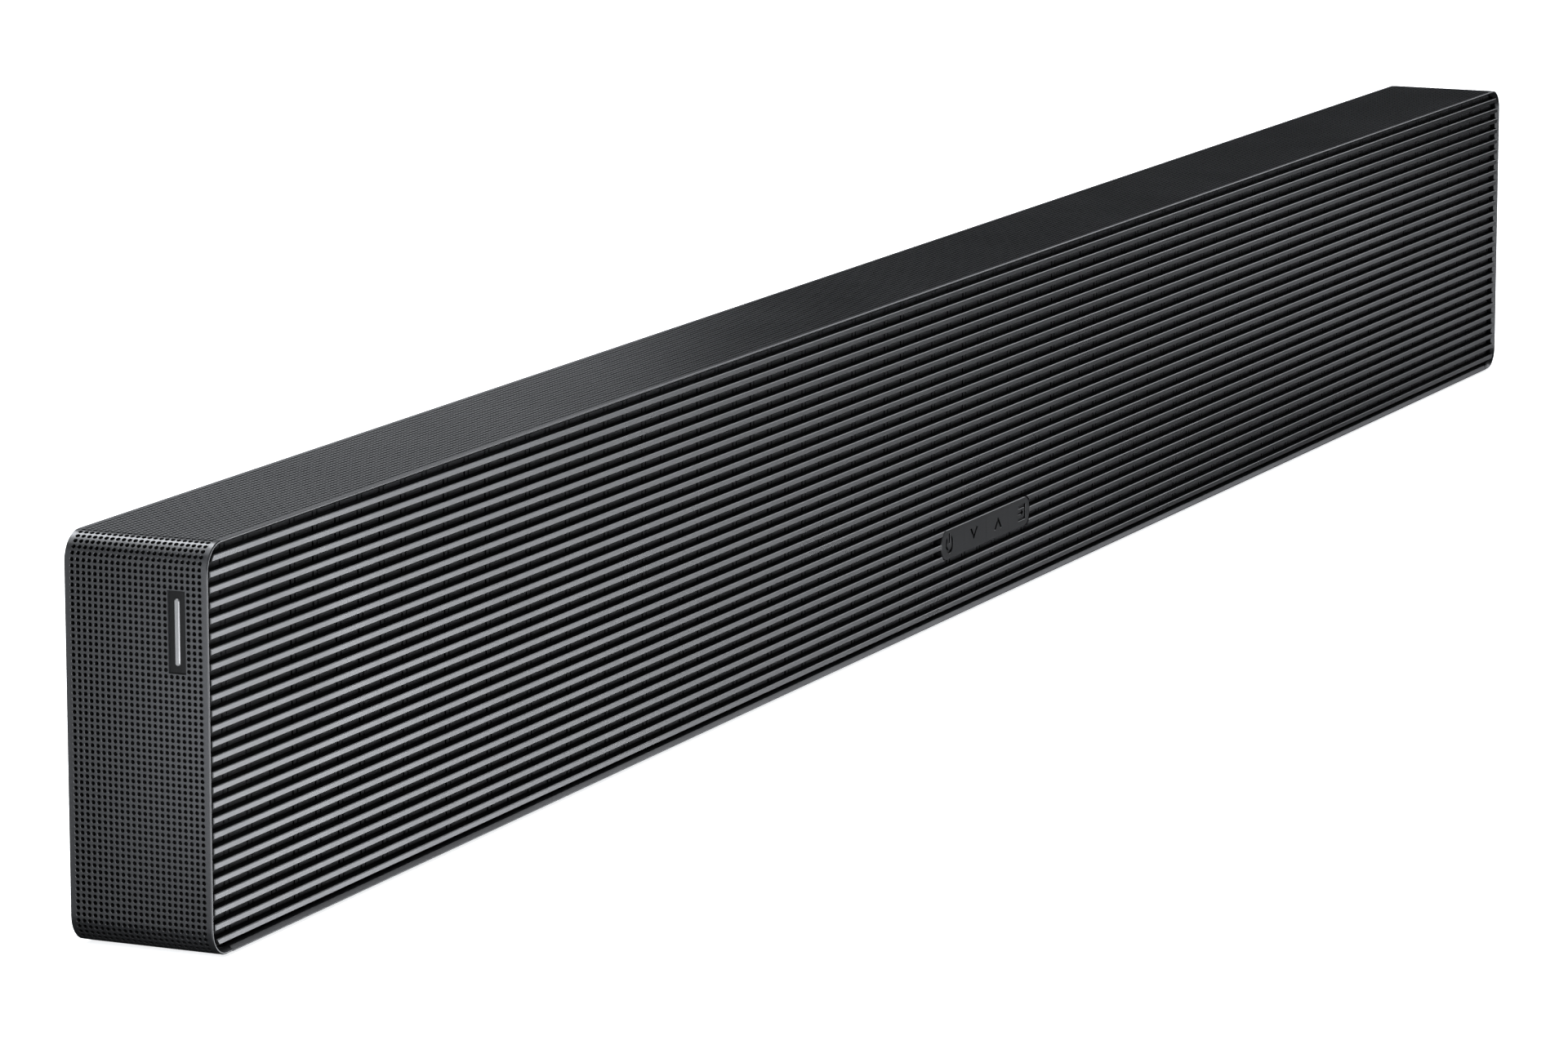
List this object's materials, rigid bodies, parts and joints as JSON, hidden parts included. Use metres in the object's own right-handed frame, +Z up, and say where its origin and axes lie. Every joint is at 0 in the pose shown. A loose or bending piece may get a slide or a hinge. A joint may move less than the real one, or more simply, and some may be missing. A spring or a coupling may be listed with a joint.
{
  "type": "soundbar",
  "caption": "Wide shallow soundbar: slatted front with a pill of sprung keys, perforated sheet wrap, sealed speaker boxes, electronics and a rear connector bay.",
  "frame": {"origin": "under the middle of the bar, on the surface the rubber feet stand on", "axes": "+X along the bar towards the end without the badge, -Y out of the slatted front, +Z up"},
  "size_m": [1.24, 0.05, 0.131],
  "materials": {
    "painted_sheet": "graphite metallic paint with fine speckle on perforated sheet",
    "liner_fabric": "black non-woven",
    "cover_paint": "graphite metallic paint, satin",
    "cover_plastic": "fine spark-eroded texture",
    "slat_paint": "graphite metallic paint, satin, bevelled edges",
    "frame_plastic": "fine texture",
    "acoustic_mesh": "fine woven mesh moulded to shape",
    "badge_finish": "blank satin bar on a black plate",
    "key_plastic": "soft matte with sunk symbols",
    "switch_plastic": "moulded",
    "plunger_plastic": "moulded",
    "circuit_board": "solder resist",
    "inner_plastic": "moulded",
    "basket_steel": "black powder coat",
    "ferrite": "ground ferrite and plated steel",
    "surround_rubber": "matte",
    "cone_paper": "pressed fibre",
    "dome_silk": "coated textile",
    "heatsink_metal": "extruded",
    "transformer_tape": "yellow tape over ferrite",
    "capacitor_sleeve": "shrink sleeve",
    "socket_plastic": "moulded",
    "socket_metal": "tin plate",
    "shield_metal": "tin plate",
    "brass": "turned",
    "foot_rubber": "matte",
    "screw_steel": "black zinc",
    "lead_sleeve": "insulation"
  },
  "bodies": {
    "cabinet": {"perforated_shell": "painted_sheet", "shell_liner": "liner_fabric", "bottom_cover": "cover_paint", "rear_cover": "cover_plastic", "grille_slats": "slat_paint", "grille_frame": "frame_plastic", "acoustic_mesh": "acoustic_mesh", "badge": "badge_finish", "key_frame": "frame_plastic", "key_board": "circuit_board", "tact_switches": "switch_plastic", "front_baffle": "inner_plastic", "left_enclosure": "inner_plastic", "right_enclosure": "inner_plastic", "left_outer_basket": "basket_steel", "left_inner_basket": "basket_steel", "right_inner_basket": "basket_steel", "right_outer_basket": "basket_steel", "left_outer_magnet": "ferrite", "left_inner_magnet": "ferrite", "right_inner_magnet": "ferrite", "right_outer_magnet": "ferrite", "left_outer_surround": "surround_rubber", "left_inner_surround": "surround_rubber", "right_inner_surround": "surround_rubber", "right_outer_surround": "surround_rubber", "left_tweeter": "inner_plastic", "right_tweeter": "inner_plastic", "main_board": "circuit_board", "heatsink": "heatsink_metal", "power_board": "circuit_board", "transformer": "transformer_tape", "capacitors": "capacitor_sleeve", "mains_inlet": "socket_plastic", "inlet_pins": "brass", "hdmi_sockets": "socket_metal", "optical_socket": "socket_plastic", "wireless_module": "shield_metal", "bracket_inserts": "brass", "rubber_feet": "foot_rubber", "rear_screws": "screw_steel", "driver_screws": "screw_steel", "bottom_screws": "screw_steel", "board_screws": "screw_steel", "wiring_harness": "lead_sleeve"},
    "power_button": {"power_key": "key_plastic", "power_plunger": "plunger_plastic"},
    "volume_down_button": {"volume_down_key": "key_plastic", "volume_down_plunger": "plunger_plastic"},
    "volume_up_button": {"volume_up_key": "key_plastic", "volume_up_plunger": "plunger_plastic"},
    "source_button": {"source_key": "key_plastic", "source_plunger": "plunger_plastic"},
    "left_outer_diaphragm": {"left_outer_cone": "cone_paper"},
    "left_inner_diaphragm": {"left_inner_cone": "cone_paper"},
    "right_inner_diaphragm": {"right_inner_cone": "cone_paper"},
    "right_outer_diaphragm": {"right_outer_cone": "cone_paper"},
    "left_tweeter_diaphragm": {"left_dome": "dome_silk"},
    "right_tweeter_diaphragm": {"right_dome": "dome_silk"}
  },
  "joints": [
    {"name": "power_press", "type": "slide", "parent": "cabinet", "child": "power_button", "axis": [0, 1, 0], "range_m": [0, 0.0005], "stiffness_N_per_m": 1500, "springref_m": -0.0003},
    {"name": "volume_down_press", "type": "slide", "parent": "cabinet", "child": "volume_down_button", "axis": [0, 1, 0], "range_m": [0, 0.0005], "stiffness_N_per_m": 1500, "springref_m": -0.0003},
    {"name": "volume_up_press", "type": "slide", "parent": "cabinet", "child": "volume_up_button", "axis": [0, 1, 0], "range_m": [0, 0.0005], "stiffness_N_per_m": 1500, "springref_m": -0.0003},
    {"name": "source_press", "type": "slide", "parent": "cabinet", "child": "source_button", "axis": [0, 1, 0], "range_m": [0, 0.0005], "stiffness_N_per_m": 1500, "springref_m": -0.0003},
    {"name": "left_outer_excursion", "type": "slide", "parent": "cabinet", "child": "left_outer_diaphragm", "axis": [0, 1, 0], "range_m": [-0.0022, 0.0022], "stiffness_N_per_m": 1400},
    {"name": "left_inner_excursion", "type": "slide", "parent": "cabinet", "child": "left_inner_diaphragm", "axis": [0, 1, 0], "range_m": [-0.0022, 0.0022], "stiffness_N_per_m": 1400},
    {"name": "right_inner_excursion", "type": "slide", "parent": "cabinet", "child": "right_inner_diaphragm", "axis": [0, 1, 0], "range_m": [-0.0022, 0.0022], "stiffness_N_per_m": 1400},
    {"name": "right_outer_excursion", "type": "slide", "parent": "cabinet", "child": "right_outer_diaphragm", "axis": [0, 1, 0], "range_m": [-0.0022, 0.0022], "stiffness_N_per_m": 1400},
    {"name": "left_tweeter_excursion", "type": "slide", "parent": "cabinet", "child": "left_tweeter_diaphragm", "axis": [0, 1, 0], "range_m": [-0.0003, 0.0003], "stiffness_N_per_m": 1800},
    {"name": "right_tweeter_excursion", "type": "slide", "parent": "cabinet", "child": "right_tweeter_diaphragm", "axis": [0, 1, 0], "range_m": [-0.0003, 0.0003], "stiffness_N_per_m": 1800}
  ]
}
